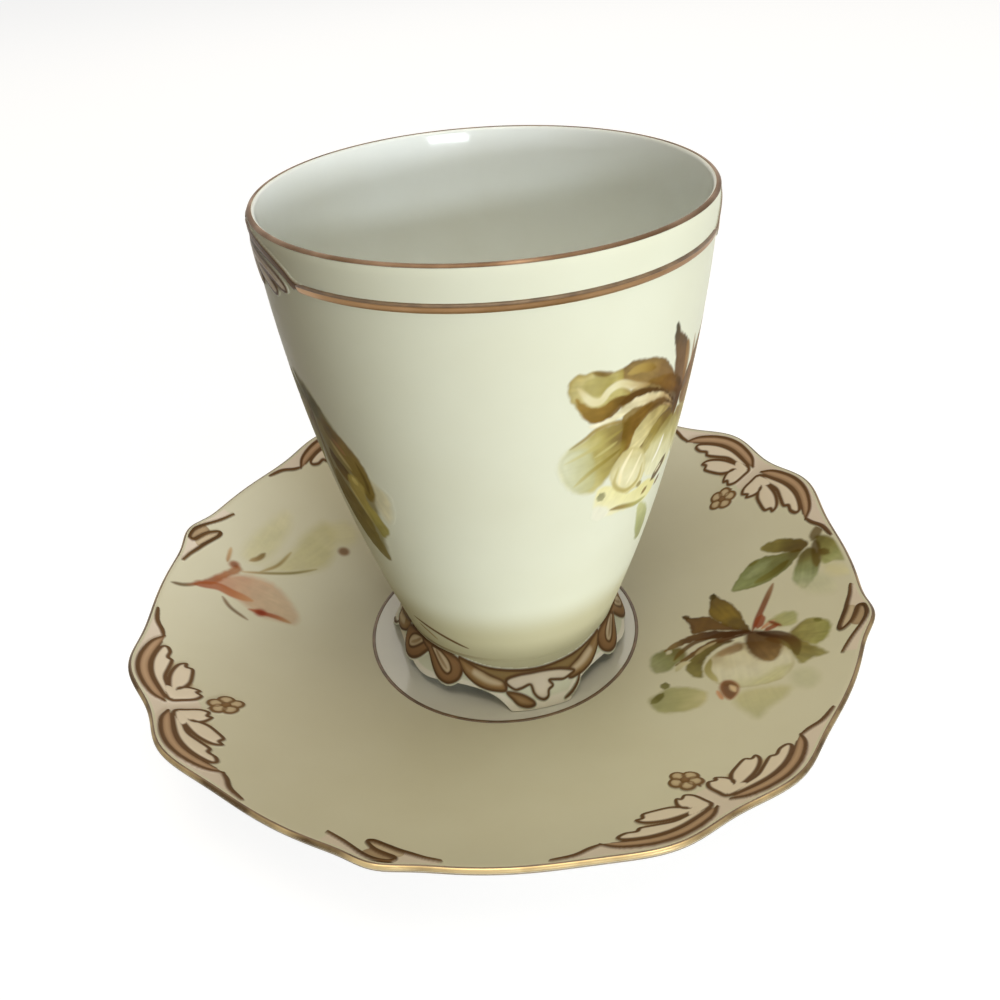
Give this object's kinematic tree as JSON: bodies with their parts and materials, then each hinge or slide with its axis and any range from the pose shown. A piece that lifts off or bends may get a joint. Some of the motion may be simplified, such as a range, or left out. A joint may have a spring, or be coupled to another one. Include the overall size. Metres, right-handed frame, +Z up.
{
  "type": "chocolate cup and saucer",
  "caption": "Tall bell-shaped porcelain cup on an arched foot, with a loop handle, standing in the well of a shallow saucer with a lobed edge and moulded leaf and scroll relief.",
  "frame": {"origin": "centre of the saucer's foot ring, on the table", "axes": "+Z up along the saucer's axis, +X to the right and -Y towards a viewer who faces the cup's front, with the handle at the back"},
  "size_m": [0.1248, 0.1248, 0.0883],
  "materials": {
    "cream_glaze": "glossy cream glaze over porcelain, white inside the cup and under the saucer",
    "pale_relief": "glossy pale pink-white relief with brown-gold outlines",
    "brown_relief": "satin brown-gold colour fired on relief",
    "gilding": "matt to burnished gold line",
    "brown_line": "dark brown fired line"
  },
  "bodies": {
    "saucer": {"saucer_body": "cream_glaze", "saucer_edge_gilding": "gilding", "saucer_well_line": "brown_line", "saucer_leaf_relief_1": "pale_relief", "saucer_leaf_relief_2": "pale_relief", "saucer_leaf_relief_3": "pale_relief", "saucer_leaf_relief_4": "pale_relief", "saucer_scroll_relief_1": "brown_relief", "saucer_scroll_relief_2": "brown_relief", "saucer_scroll_relief_3": "brown_relief", "saucer_scroll_relief_4": "brown_relief"},
    "cup": {"cup_body": "cream_glaze", "cup_foot": "cream_glaze", "cup_handle": "cream_glaze", "cup_lip_gilding": "gilding", "cup_band_front": "gilding", "cup_band_back": "gilding", "cup_neck_line": "brown_line", "cup_rim_relief_left": "pale_relief", "cup_rim_relief_right": "pale_relief", "foot_leaf_relief_1": "pale_relief", "foot_leaf_relief_2": "pale_relief", "foot_leaf_relief_3": "pale_relief", "foot_loop_relief_1": "brown_relief", "foot_loop_relief_2": "brown_relief", "foot_loop_relief_3": "brown_relief"}
  },
  "joints": [
    {"name": "cup_lift", "type": "slide", "parent": "saucer", "child": "cup", "axis": [0, 0, 1], "range_m": [0, 0.06]}
  ]
}
